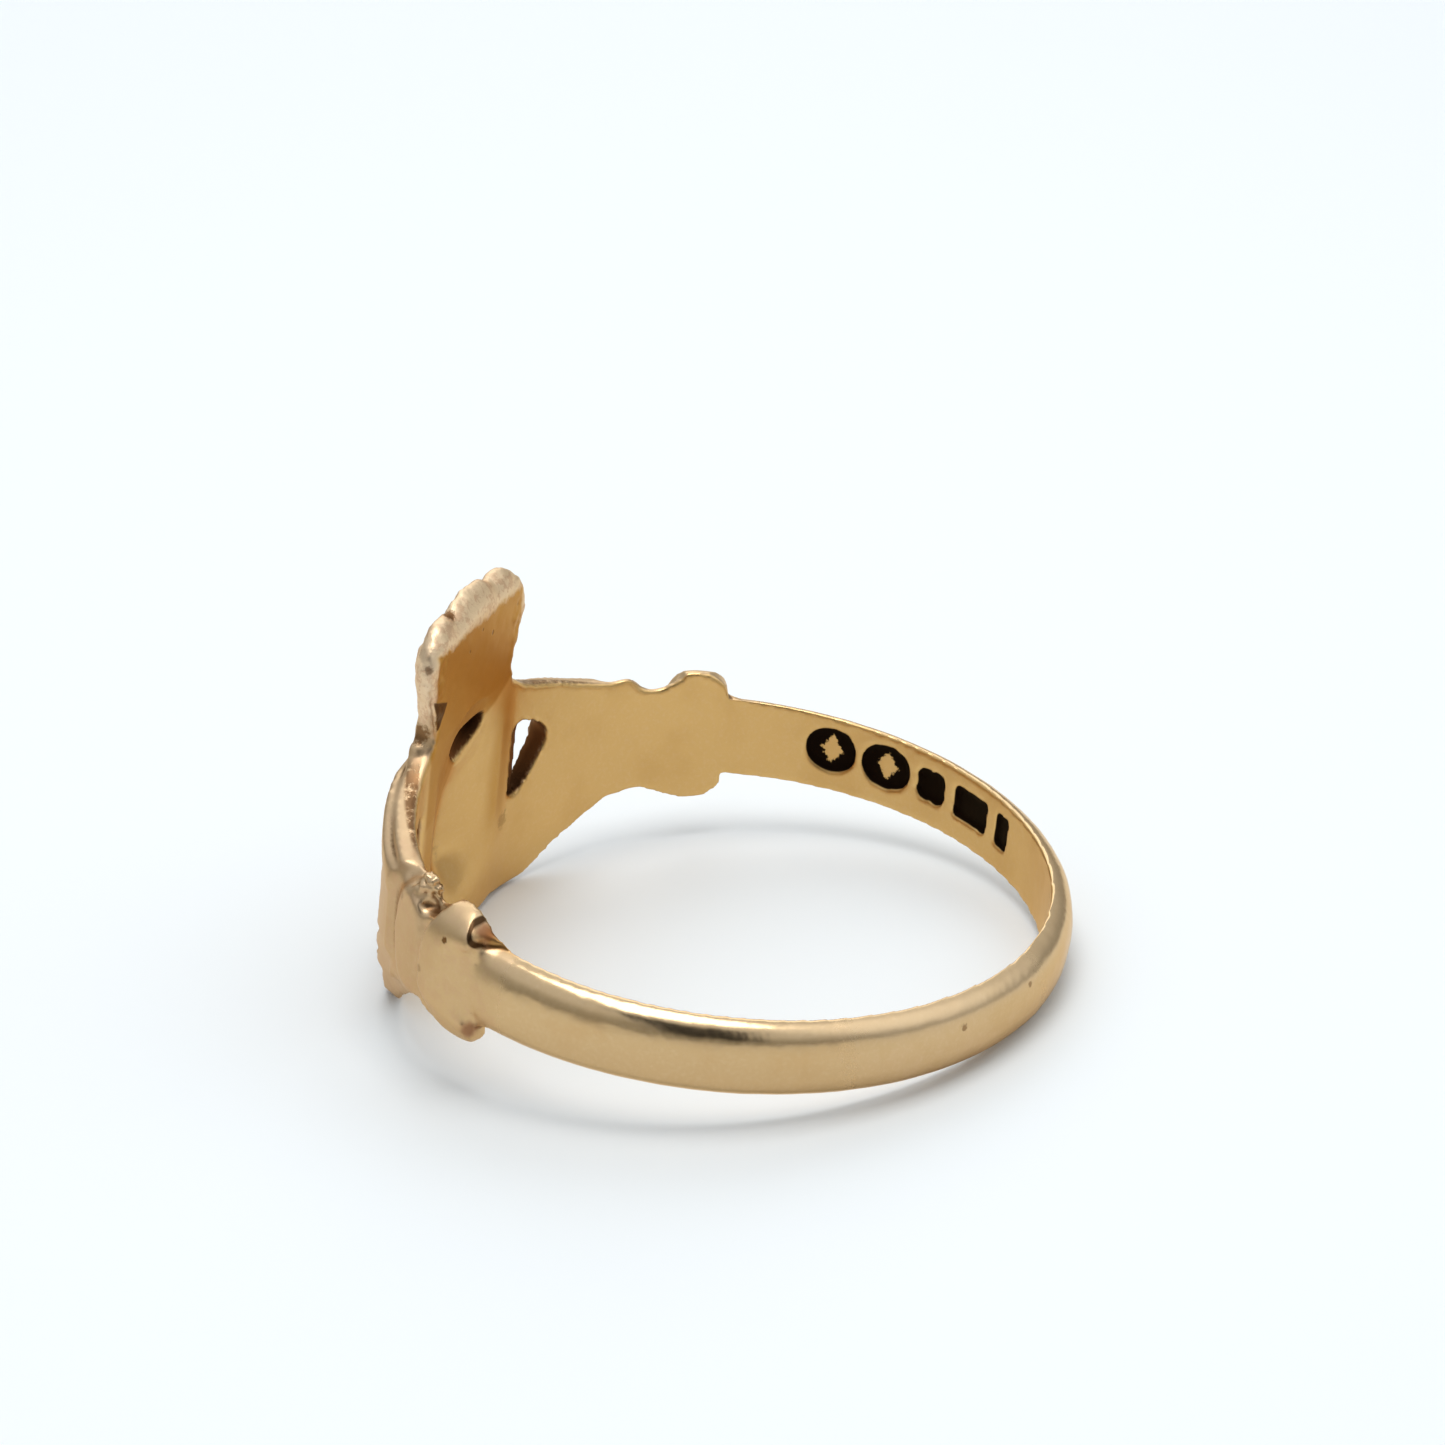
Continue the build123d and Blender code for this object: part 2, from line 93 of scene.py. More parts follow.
class Paint:  # the nodes of one material or of the world
    def __init__(self, owner):
        self.owner = owner
        owner.use_nodes = True
        self.tree = owner.node_tree
        self.tree.nodes.clear()

    def node(self, kind, settings=None, inputs=None, output=0):
        made = self.tree.nodes.new("ShaderNode" + kind)
        for name, value in (settings or {}).items():
            setattr(made, name, value)
        for name, value in (inputs or {}).items():
            if isinstance(value, Field):
                self.tree.links.new(value.socket, made.inputs[name])
            else:
                made.inputs[name].default_value = value
        return Field(self, made.outputs[output]) if made.outputs else None

    def sums(self, operation, first, second):
        return self.node("Math", {"operation": operation}, {0: first, 1: second})

    def blend(self, share, low, high):  # sockets 6 and 7 are the colours of a Mix node
        return self.node("Mix", {"data_type": "RGBA"}, {0: share, 6: low, 7: high}, 2)

    def between(self, value, low, high):  # 0 below low and 1 above high, smooth between
        settings = {"interpolation_type": "SMOOTHSTEP"}
        return self.node("MapRange", settings, {"Value": value, "From Min": low, "From Max": high})

    def within(self, value, low, high, soft):  # 1 from low to high
        start = self.between(value, low - soft, low + soft)
        return start * (1 - self.between(value, high - soft, high + soft))

    def turned(self, angle, low, high, soft):  # 1 from one angle to another, in degrees
        return self.within(angle, radians(low), radians(high), radians(soft))

    def grain(self, where, scale, detail, rough=0.5):
        inputs = {"Vector": where, "Scale": scale, "Detail": detail, "Roughness": rough}
        return self.node("TexNoise", None, inputs)

    def painted(self, name):  # a value that the mesh carries
        return self.node("Attribute", {"attribute_name": name}, None, 2)

    def along(self, where, axis):  # how far a place lies along an axis
        return self.node("VectorMath", {"operation": "DOT_PRODUCT"}, {0: where, 1: tuple(axis)}, 1)

    def spot(self, where, place, radius, soft, ragged):  # 1 in a ragged ball at a place in the ring's frame
        centre = tuple(fromRing(np.array(place)) / millimetre)
        away = self.node("VectorMath", {"operation": "DISTANCE"}, {0: where, 1: centre}, 1)
        away = away + ragged * (2 * radius)
        return 1 - self.between(away, radius * (1 - soft), radius * (1 + soft))

    def finish(self, inputs):
        shader = self.node("BsdfPrincipled", None, inputs)
        self.node("OutputMaterial", None, {"Surface": shader})
        return self.owner


# The ring's body: the casting remade as one finely divided, slightly worn skin

bodyCut = {
    "voxel": 0.0865,
    "stampRounds": 3,         # rounds of smoothing, here and below
    "evenRounds": 12,
    "reliefRounds": 6,
    "frillRounds": 24,
    "knobRounds": 16,
    "padRounds": 36,
    "lowRounds": 36,
    "topRounds": 14,
    "slotRounds": 12,
    "rimRounds": 14,
    "cleftRounds": 6,
    "tailRounds": 24,
    "lastRounds": 5,
    "handRounds": 2,
    "waveHeight": 0.010,
    "waveSize": 0.9,
    "rimHeight": 0.04,
    "rimSize": 2.2,
    "nuggetHeight": 0.12,
    "nuggetSize": 3.0,
    "knobPlace": (9.25, 51.5, 1.8),     # reach, angle from the head, height
    "tailPlace": (9.07, 3.84, 1.14),    # the cuffs' tails, alike on both sides
    "bendRounds": 12,
    "bendDepth": 0.03,        # a hollow or an edge this strong counts in full
}
headPlan = {              # the finger hole's outline behind the head, and the openings there
    "plateHalf": 3.0,
    "plateDepth": 7.95,
    "shoulderAngle": 52.0,
    "halfAngle": 50.0,        # the openings lie inside this angle
    "cleftHeight": 2.05,
    "cleftWiden": 0.26,
    "slotAngle": 30.0,
    "slotLedge": 0.40,        # the side openings' wall beside the heart
    "slotTaper": 0.24,
}
bandPlan = {              # half heights at the cuffs and at the back, and the outside as half height: depth
    "halfCuff": 1.23,
    "halfBack": 1.05,
    "depth": 0.72,
    "bow": 0.14,
    "turn": 0.34,
    "ends": (66, 180),        # angles from the head
    "start": (67.6, 70.5),
    "crest": 1.2,
    "crestEnd": 77.0,
    "worn": [
        (0, 0.72), (0.3, 0.70), (0.42, 0.675), (0.55, 0.64), (0.64, 0.60), (0.72, 0.55), (0.78, 0.505),
        (0.83, 0.455), (0.87, 0.40), (0.91, 0.335), (0.94, 0.28), (0.965, 0.21), (0.985, 0.12), (1.0, 0.02),
    ],
}
stampPlan = {             # the stretch of stamped marks inside the band
    "angles": (-135, -80),
    "heights": (-0.85, 1.05),
    "deep": 0.25,
}
fingerGrooves = {         # lines between the fingers, as across and height
    "lines": [
        ((2.18, -2.04), (3.74, -1.83), (5.70, -1.11)),
        ((1.77, -2.66), (3.53, -2.53), (5.58, -1.69)),
    ],
    "deep": 0.075,
    "half": 0.16,
}
valley = [                # height and depth of the hollow behind the heart
    (3.25, 0), (2.7, 0.13), (2.1, 0.30), (1.56, 0.43), (1.09, 0.58), (0.3, 0.74), (-0.5, 0.86), (-1.2, 0.93),
]
lumps = [                 # place, radius and height of raised spots on the rim and the cuff
    ((2.72, -8.45, 3.02), 0.30, 0.07),
    ((2.95, -8.30, 5.95), 0.25, 0.04),
    ((7.05, -6.15, 1.95), 0.25, 0.06),
]


def readRows(mesh, what="vertices", field="co", width=3, kind=np.float32):
    data = np.zeros(len(getattr(mesh, what)) * width, dtype=kind)
    getattr(mesh, what).foreach_get(field, data)
    return data.reshape(-1, width)


def newBody(node, voxel):
    mesh = node.data.copy()
    mesh.transform(Matrix.Scale(1 / millimetre, 4))
    body = bpy.data.objects.new("ringBody", mesh)
    bpy.context.scene.collection.objects.link(body)
    remesh = body.modifiers.new("remesh", "REMESH")
    remesh.mode = "VOXEL"
    remesh.voxel_size = voxel
    shown = body.evaluated_get(bpy.context.evaluated_depsgraph_get())
    fine = bpy.data.meshes.new_from_object(shown)
    body.modifiers.clear()
    body.data = fine
    return body


def ramp(values, low, high):  # 0 at low and 1 at high, smooth between
    share = np.clip((values - low) / (high - low), 0, 1)
    return share * share * (3 - 2 * share)


def around(values, low, high, soft):  # 1 from low to high
    return ramp(values, low - soft, low + soft) * (1 - ramp(values, high - soft, high + soft))


class Skin:  # the body's points in the ring's frame
    def __init__(self, mesh):
        self.mesh = mesh
        self.edges = readRows(mesh, "edges", "vertices", 2, np.int32)
        self.points = toRing(readRows(mesh).astype(float) * millimetre)
        self.links = np.bincount(self.edges.ravel(), minlength=len(self.points))[:, None]
        self.write()

    def write(self):
        self.mesh.vertices.foreach_set("co", fromRing(self.points).astype(np.float32).ravel())
        self.mesh.update()
        self.normals = readRows(self.mesh, "vertices", "normal").astype(float) @ ringTurn.T
        self.reach = np.hypot(self.points[:, 0], self.points[:, 1])
        self.angle = np.degrees(np.arctan2(self.points[:, 0], -self.points[:, 1]))

    def outward(self):  # 1 where the skin faces away from the ring's axis, -1 where it faces the finger
        return np.sum(self.normals[:, :2] * self.points[:, :2], axis=1) / self.reach

    def mean(self, values):  # the mean of each point's neighbours
        first, second = self.edges.T
        count = len(values)
        total = [np.bincount(first, v[second], count) + np.bincount(second, v[first], count)
                 for v in values.T]
        return np.stack(total, axis=1) / self.links

    def soften(self, rounds, weight=1.0, back=1.04):
        for step in range(rounds):
            for pull in (0.5, -0.5 * back):
                self.points = self.points + pull * weight * (self.mean(self.points) - self.points)
        self.write()

    def paint(self, name, values):
        layer = self.mesh.attributes.new(name, "FLOAT", "POINT")
        layer.data.foreach_set("value", values.astype(np.float32))


def beyondHole(points):  # how far points stand outside the finger hole's outline
    x, y = np.abs(points[:, 0]), points[:, 1]
    turn = radians(headPlan["shoulderAngle"])
    way = np.array((sin(turn), -cos(turn)))
    corner = np.array((headPlan["plateHalf"], -headPlan["plateDepth"]))
    reach = way @ corner
    radius = (corner @ corner - 2 * holeRadius * reach + holeRadius ** 2) / (2 * holeRadius - 2 * reach)
    centre = way * (holeRadius - radius)
    shoulder = np.hypot(x - centre[0], y - centre[1]) - radius
    plate = -y - headPlan["plateDepth"]
    angle = np.degrees(np.arctan2(x, -y))
    rest = np.where(angle < headPlan["shoulderAngle"], shoulder, np.hypot(x, y) - holeRadius)
    return np.where((x < headPlan["plateHalf"]) & (y < 0), plate, rest)


def hollowDepth(x, z):  # a valley behind the heart, deepest low down
    depth = np.interp(z, *zip(*reversed(valley))) * ramp(z, -3.4, -1.5)
    return depth * np.clip(1 - (np.sqrt(x * x + 0.09) - 0.3) / 1.95, 0, 1)


def fromCleft(points):
    return np.hypot(points[:, 0], points[:, 2] - headPlan["cleftHeight"])


# The side openings slant, so they are measured across their slant from the plate's corner
slotTurn = radians(headPlan["slotAngle"])
slotStart = headPlan["plateHalf"] * cos(slotTurn) - headPlan["plateDepth"] * sin(slotTurn)


def acrossSlot(points):
    return np.abs(points[:, 0]) * cos(slotTurn) + points[:, 1] * sin(slotTurn) - slotStart


def shiftAcross(points, amount):
    points[:, 0] += amount * cos(slotTurn) * np.sign(points[:, 0])
    points[:, 1] += amount * sin(slotTurn)


def bandHalf(angle):
    return np.interp(np.abs(angle), bandPlan["ends"], (bandPlan["halfCuff"], bandPlan["halfBack"]))


def waves(points, size, seed):
    places = points * size + seed
    return np.array([noise.fractal(Vector(place), 0.7, 2.0, 3) for place in places])


body = newBody(frame["nodes"]["claddagh_ring"], bodyCut["voxel"])
skin = Skin(body.data)
print("body", len(body.data.vertices), "points", len(body.data.polygons), "faces")

# Even out the remeshed steps, less in the stamped marks
stampZone = around(skin.angle, *stampPlan["angles"], 0.5) * (skin.reach < holeRadius + stampPlan["deep"])
stampZone *= around(skin.points[:, 2], *stampPlan["heights"], 0.05)
skin.soften(bodyCut["stampRounds"])
skin.soften(bodyCut["evenRounds"], (1 - stampZone)[:, None])
print("steps evened out")

# The band's outside is worn rounder than a D
z = skin.points[:, 2]
half = bandHalf(skin.angle)
turn = bandPlan["turn"]
rise = np.clip(np.abs(z) - half + turn, 0, turn)
bowed = bandPlan["bow"] * np.clip(np.abs(z) / (half - turn), 0, 1) ** 2
cast = bandPlan["depth"] - bowed - turn + np.sqrt(np.maximum(turn ** 2 - rise ** 2, 0))
worn = np.interp(np.clip(np.abs(z) / half, 0, 1), *zip(*bandPlan["worn"]))
thinner = 1 + (worn / cast - 1) * ramp(np.abs(skin.angle), *bandPlan["start"])
worked = (holeRadius + (skin.reach - holeRadius) * thinner) / skin.reach
skin.points[:, :2] *= np.where(skin.reach > holeRadius, worked, 1)[:, None]

# The far cuff's edge runs down to the band
overBand = (skin.angle < -bandPlan["start"][0]) * (skin.angle > -bandPlan["crestEnd"])
overBand = overBand * (z > bandPlan["crest"])
skin.points[:, 2] -= 0.9 * overBand * (z - bandPlan["crest"])
skin.write()
print("band worn")

# An even hollow behind the heart
x, y, z = skin.points.T
behind = around(x, -2.7, 2.7, 0.2) * around(z, -3.6, 3.3, 0.2) * (y > -9.2) * (y < -7.5)
atCleft = 1 - ramp(fromCleft(skin.points), 1.1, 1.5)
behind *= ramp(-skin.outward() - 0.25 * atCleft, 0.2, 0.5)
skin.points[:, 1] += behind * (-headPlan["plateDepth"] - hollowDepth(x, z) - y)

# The opening over the heart's cleft widens towards the finger
wider = headPlan["cleftWiden"] * (1 - ramp(fromCleft(skin.points), 0.8, 1.6))
wider = 1 + wider * (1 - ramp(beyondHole(skin.points), 0.5, 0.9)) * (y < -7.5)
skin.points[:, 0] *= wider
skin.points[:, 2] += (wider - 1) * (z - headPlan["cleftHeight"])

# The side openings narrow towards the outside, most at their foot
beyond = beyondHole(skin.points)
across = acrossSlot(skin.points)
taper = headPlan["slotTaper"] * ramp(beyond, 0.1, 0.6) * (1 - ramp(z, 0.3, 1.1)) * ramp(z, -1.7, -1.2)
taper = taper * (1 - ramp(across, 1.3, 2.5))
taper *= np.maximum(across - 0.44, 0) * (np.abs(skin.angle) < headPlan["halfAngle"])
shiftAcross(skin.points, -taper)
skin.write()

# Rounder relief in front, softer frills and pads, rounder rims
x, y, z = skin.points.T
outward = skin.outward()
side = np.abs(skin.angle)
beyond = beyondHole(skin.points)
slotZone = around(acrossSlot(skin.points), -0.2, 2.2, 0.1) * around(z, -1.5, 1.7, 0.1)
slotZone *= (beyond > 0.04) * (side < headPlan["halfAngle"]) * (outward < 0.6)
fromTail = np.linalg.norm(np.abs(skin.points) - np.array(bodyCut["tailPlace"]), axis=1)
zones = [
    ("reliefRounds", (1 - ramp(side, 60, 66)) * ramp(outward, -0.2, 0.3), 0.6),
    ("frillRounds", around(side, 42, 54.5, 1.0) * ramp(outward, 0.0, 0.4), 0.5),
    ("knobRounds", around(side, 45, 57, 1.0) * ramp(z, 1.2, 1.5), 0.3),
    ("padRounds", around(side, 57.5, 66.4, 0.7) * ramp(outward, 0.1, 0.4), 0.5),
    ("lowRounds", ramp(-z, 1.2, 1.6) * (1 - ramp(side, 52, 56)) * (1 - ramp(beyond, 0.35, 0.6)), 0.45),
    ("topRounds", around(z, 1.5, 3.1, 0.15) * (1 - ramp(side, 54, 57)) * (1 - ramp(outward, 0.2, 0.5)), 0.5),
    ("slotRounds", slotZone, 0.5),
    ("rimRounds", ramp(z, 3.2, 3.8), 0.6),
    ("cleftRounds", (1 - ramp(fromCleft(skin.points), 1.2, 1.6)) * (y < -7.5) * (y > -9.0), 0.5),
    ("tailRounds", 1 - ramp(fromTail, 0.25, 0.5), 0.2),
]
for rounds, zone, back in zones:
    skin.soften(bodyCut[rounds], zone[:, None], back)
skin.soften(bodyCut["lastRounds"], (1 - stampZone)[:, None])
print("relief rounded")

# The openings' walls beside the heart are flat
x, y, z = skin.points.T
off = headPlan["slotLedge"] - acrossSlot(skin.points)
facing = skin.normals[:, 0] * np.sign(x) * cos(slotTurn) + skin.normals[:, 1] * sin(slotTurn)
flat = (np.abs(off) < 0.22) * ramp(facing, 0.05, 0.35) * around(z, -1.4, 1.4, 0.1)
flat = flat * around(beyondHole(skin.points), 0.3, 0.95, 0.05) * (side < headPlan["halfAngle"])
shiftAcross(skin.points, flat * off)
skin.write()

# Slight waves all over, a rougher rim round the crown and a rugged knob on the frill
height = bodyCut["waveHeight"] * waves(skin.points, bodyCut["waveSize"], 3.0)
rim = ramp(z, 3.2, 4.2) * ramp(skin.reach, 8.2, 8.35)
height += bodyCut["rimHeight"] * rim * waves(skin.points, bodyCut["rimSize"], 7.0)
for place, radius, rise in lumps:
    height += rise * (1 - ramp(np.linalg.norm(skin.points - np.array(place), axis=1), 0.2 * radius, radius))
knobReach, knobAngle, knobHeight = bodyCut["knobPlace"]
knob = np.array((knobReach * sin(radians(knobAngle)), -knobReach * cos(radians(knobAngle)), knobHeight))
nugget = 1 - ramp(np.linalg.norm(skin.points - knob, axis=1), 0.4, 0.8)
height += bodyCut["nuggetHeight"] * nugget * (waves(skin.points, bodyCut["nuggetSize"], 1.0) - 0.6)

# Grooves between the fingers
onHand = around(beyondHole(skin.points), 0.5, 1.05, 0.06) * ramp(skin.outward(), 0.3, 0.6) * (y < 0)
for line in fingerGrooves["lines"]:
    out, low = zip(*line)
    away = np.abs(z - np.polyval(np.polyfit(out, low, 2), np.abs(x)))
    groove = onHand * around(np.abs(x), out[0], out[2] - 0.2, 0.25)
    height -= fingerGrooves["deep"] * groove * (1 - ramp(away, 0, fingerGrooves["half"]))
skin.points += skin.normals * height[:, None]
skin.write()
skin.soften(bodyCut["handRounds"], onHand[:, None])
for face in body.data.polygons:
    face.use_smooth = True
print("skin shaped")

# What the surface shows at each place: hollows and the openings' walls, which get painted shade, worn edges,
# the inner side and stamped marks
x, y, z = skin.points.T
outward = skin.outward()
spread = skin.points.copy()
for step in range(bodyCut["bendRounds"]):
    spread = 0.5 * spread + 0.5 * skin.mean(spread)
bend = np.sum((spread - skin.points) * skin.normals, axis=1)
skin.paint("hollow", np.clip(bend / bodyCut["bendDepth"], 0, 1))
skin.paint("edge", np.clip(-bend / bodyCut["bendDepth"], 0, 1))
skin.paint("inside", ramp(-outward, 0.25, 0.7))
# how far the skin faces up, used also to paint upward faces paler as light from above
skin.paint("upper", ramp(skin.normals[:, 2], 0.2, 0.7))
skin.paint("stamped", stampZone)

beyond = beyondHole(skin.points)
walls = 1 - ramp(outward, 0.45, 0.7)
slotWalls = around(acrossSlot(skin.points), -0.15, 2.0, 0.1) * around(z, -1.4, 1.6, 0.08)
slotWalls = slotWalls * ramp(beyond, 0.06, 0.12) * walls
cleftWalls = around(x, -1.4, 1.4, 0.05) * around(z, 1.2, 2.85, 0.05)
cleftWalls = cleftWalls * ramp(beyond - hollowDepth(x, z), 0.05, 0.11) * walls
# the openings' walls and their deepest parts, for painted shade
skin.paint("opening", np.maximum(slotWalls, cleftWalls) * (np.abs(skin.angle) < headPlan["halfAngle"]))
skin.paint("deep", np.maximum(slotWalls * (1 - ramp(z, -1.2, 0.4)), cleftWalls * (1 - ramp(x, -0.9, 0.1))))
print("surface read")

goldLook = {
    "face": shade(208, 174, 126),
    "front": shade(196, 162, 122),
    # the inner side painted warmer and deeper, as painted reflection of the gold facing it
    "inside": shade(222, 181, 114),
    # brown for painted shade on the crown's back, by the hollow and on the block by the crease, and for faint
    # random tone
    "back": shade(184, 130, 54),
    "pale": shade(238, 212, 178),
    # tarnish for the pits and the groove, and painted shade in the hollows
    "tarnishAndShade": shade(108, 68, 30),
    # opening and deep: painted shade on the openings' walls and deep inside them
    "opening": shade(118, 74, 40),
    "stampFill": shade(26, 17, 11),
    "redStain": shade(120, 44, 26),
    # painted shade in the crease by the near cuff
    "crease": shade(60, 36, 16),
    "notch": shade(84, 48, 20),
    "deep": shade(52, 30, 16),
    "rosy": shade(196, 148, 114),
    "glancing": shade(255, 240, 218),     # tint of what is seen at a low angle
    "roughness": 0.13,
    "headRoughness": 0.15,
    "bump": 0.35,
    "bumpDepth": 0.03,
    "grooveAngles": (20, 41),             # angles from the head, in degrees
    "rubbedAngles": (132, 176),
    "headAngles": (71, 76),
}
# Small pits and stains: place in the ring's frame, radius, how dark
pits = [
    ((1.32, -8.42, 6.60), 0.19, 0.9),
    ((3.11, -8.14, 5.75), 0.12, 0.6),
    ((2.58, -8.47, 3.45), 0.28, 0.8),
    ((2.30, -8.60, 2.75), 0.12, 0.6),
    ((-0.82, -7.95, 5.31), 0.07, 0.7),
    ((-0.10, -7.95, 5.70), 0.05, 0.6),
    ((0.70, -7.95, 5.35), 0.05, 0.5),
    ((8.80, -4.64, 1.15), 0.09, 0.9),
    ((7.31, -5.40, 1.94), 0.14, 0.9),
    ((7.14, -6.67, 1.13), 0.12, 0.35),
    ((8.43, -5.47, -0.14), 0.10, 0.35),
    ((-2.80, -8.10, -1.60), 0.28, 0.35),
    ((4.40, 8.62, 0.40), 0.10, 0.6),
    ((1.60, 9.50, 0.60), 0.08, 0.6),
    ((8.40, 4.30, -0.40), 0.05, 0.6),
    ((-8.30, 3.45, 0.30), 0.05, 0.6),
]
stains = [((8.53, -3.54, 1.55), 0.30), ((8.86, -3.69, -1.31), 0.24)]
crownBackShade = {
    "foot": 2.0,          # height of the painted shade's lower edge behind the middle
    "slope": -0.5,
    "high": 5.98,
    "half": 2.80,
    "soft": 0.10,
}
lozenges = {              # what is left standing in the round marks
    "angles": (-88.2, -99.5),
    "height": 0.13,
    "halfHeight": 0.46,
    "halfWidth": 0.36,
}
creasePlan = {            # the crease where the near cuff meets the band, painted dark as shade: its angle, and its slant per mm
    "angle": 72.27,
    "slant": -3.73,
}


def goldMaterial(look):
    paint = Paint(bpy.data.materials.new("wornGold"))
    where = paint.node("TexCoord", None, None, 3)
    where = paint.node("VectorMath", {"operation": "SCALE"}, {0: where, "Scale": 1 / millimetre})
    middle = tuple(ringCentre / millimetre)
    fromCentre = paint.node("VectorMath", {"operation": "SUBTRACT"}, {0: where, 1: middle})
    x, y, z = [paint.along(fromCentre, axis) for axis in ringTurn]
    front = 0 - y
    reach = (x * x + y * y) ** 0.5
    angle = paint.sums("ARCTAN2", x, front)
    side = paint.sums("ABSOLUTE", angle, 0)
    cloud = paint.grain(where, 0.6, 4.0)
    mottle = paint.grain(where, 2.6, 4.0)
    fine = paint.grain(where, 9.0, 6.0, 0.6)
    scratch = paint.grain(where, 34.0, 3.0)
    hollow = paint.painted("hollow")
    edge = paint.painted("edge")
    inside = paint.painted("inside")
    upper = paint.painted("upper")
    opening = paint.painted("opening")
    deep = paint.painted("deep")
    outer = 1 - inside

    # Painted shade: brown on the crown's back and on the slopes beside the heart's hollow, which lie in shade
    rough = z + 0.45 * (mottle - 0.5) + 0.12 * (fine - 0.5)
    high, soft = crownBackShade["high"], crownBackShade["soft"]
    back = paint.between(z - (x * crownBackShade["slope"] + crownBackShade["foot"]), -0.12, 0.12)
    back = back * (1 - paint.between(rough, high - soft, high + soft))
    back = back * paint.within(x, -crownBackShade["half"], crownBackShade["half"], soft)
    shadeStrip = paint.within(x, -2.75, -1.9, 0.25) * paint.within(z, -1.6, 3.0, 0.9)
    nearShade = paint.between(x, 0.1, 0.5) * paint.within(z, -2.2, 2.9, 0.6) * (1 - paint.between(x, 2.6, 3.0))
    backShade = inside * paint.within(front, 7.4, 9.0, 0.1) * (back + (shadeStrip * 0.6 + nearShade * 0.8) * (1 - back))
    notch = 1 - paint.between(z - 0.4 * x, 3.50, 3.56)
    notch = notch * (1 - paint.between(x - 0.333 * z, 1.30, 1.36))
    notch = notch * paint.between(x + 0.7 * z, 5.02, 5.08) * inside
    # the crown's top paler: worn metal, and in part painted light from above
    pale = paint.between(rough, 3.4, 4.2) * (1 - back * inside)

    # The stamped marks' dark filling, round bare lozenges
    sunk = paint.painted("stamped") * paint.between(reach, holeRadius + 0.03, holeRadius + 0.06)
    ragged = 1.2 * (fine - 0.5) + 0.8 * (mottle - 0.5)
    for place in lozenges["angles"]:
        away = paint.sums("ABSOLUTE", angle - radians(place), 0) * (holeRadius / lozenges["halfWidth"])
        away = away + paint.sums("ABSOLUTE", z - lozenges["height"], 0) * (1 / lozenges["halfHeight"])
        sunk = sunk * paint.between(away + ragged, 0.85, 1.1)

    # Painted shade in the crease and painted shadow on the block beside it, the groove over the hands, and the
    # band's rubbed stretch
    line = angle - (z * radians(creasePlan["slant"]) + radians(creasePlan["angle"]))
    topEdge = outer * paint.within(z, 1.22, 2.0, 0.05)
    crease = paint.turned(line, -0.35, 0.35, 0.15) * topEdge
    shadowBlock = paint.turned(line, 0.6, 6.0, 0.5) * topEdge * paint.between(front, 2.4, 2.7)
    groove = paint.turned(side, *look["grooveAngles"], 3) * paint.within(reach, 8.7, 9.1, 0.06)
    groove = groove * upper * outer * paint.between(fine + mottle, 0.7, 1.0)
    rubbed = paint.turned(angle, *look["rubbedAngles"], 10) * outer
    patchy = paint.between(mottle + 0.7 * (fine - 0.5), 0.47, 0.62)
    head = 1 - paint.between(side, *[radians(end) for end in look["headAngles"]])

    colour = paint.blend(paint.between(front, 4.6, 6.0) * 0.7, look["face"], look["front"])
    # painted reflection: faces towards the finger painted warmer and deeper
    colour = paint.blend(inside * 0.9, colour, look["inside"])
    colour = paint.blend(paint.between(fine, 0.45, 0.7) * 0.12, colour, look["pale"])
    colour = paint.blend(paint.between(cloud, 0.45, 0.7) * 0.15, colour, look["back"])
    # painted shade: the crown's back and the slopes by the hollow painted brown
    colour = paint.blend(backShade * 0.9, colour, look["back"])
    # the crown's top paler: worn metal, and in part painted light from above
    colour = paint.blend(pale * 0.8, colour, look["pale"])
    colour = paint.blend(pale * patchy * 0.45, colour, look["rosy"])
    colour = paint.blend(head * outer * (1 - pale) * patchy * 0.22, colour, look["rosy"])
    rubs = rubbed * paint.between(cloud + 0.3 * (mottle - 0.5), 0.30, 0.70)
    colour = paint.blend(rubs * 0.2, colour, look["pale"])
    # painted light from above: upward faces painted paler
    colour = paint.blend(upper * outer * 0.35, colour, look["pale"])
    colour = paint.blend(groove * 0.8, colour, look["tarnishAndShade"])
    # painted shadow on the block beside the crease
    colour = paint.blend(shadowBlock * 0.7, colour, look["back"])
    # painted shade: hollows darkened
    hollowShade = paint.between(hollow + 0.6 * (fine - 0.5), 0.3, 1.0) * 0.8
    dark = hollowShade
    for place, radius, share in pits:
        pit = paint.spot(where, place, radius, 0.35, fine - 0.5) * share
        dark = dark + pit * (1 - dark)
    colour = paint.blend(dark, colour, look["tarnishAndShade"])
    colour = paint.blend(notch, colour, look["notch"])
    for place, radius in stains:
        stain = paint.spot(where, place, radius, 0.6, mottle - 0.5)
        colour = paint.blend(stain * 0.6, colour, look["redStain"])
    # painted shade in the crease
    colour = paint.blend(crease * 0.95, colour, look["crease"])
    # painted shade on the openings' walls, darkest deep inside
    colour = paint.blend(opening, colour, look["opening"])
    colour = paint.blend(deep, colour, look["deep"])
    colour = paint.blend(sunk, colour, look["stampFill"])

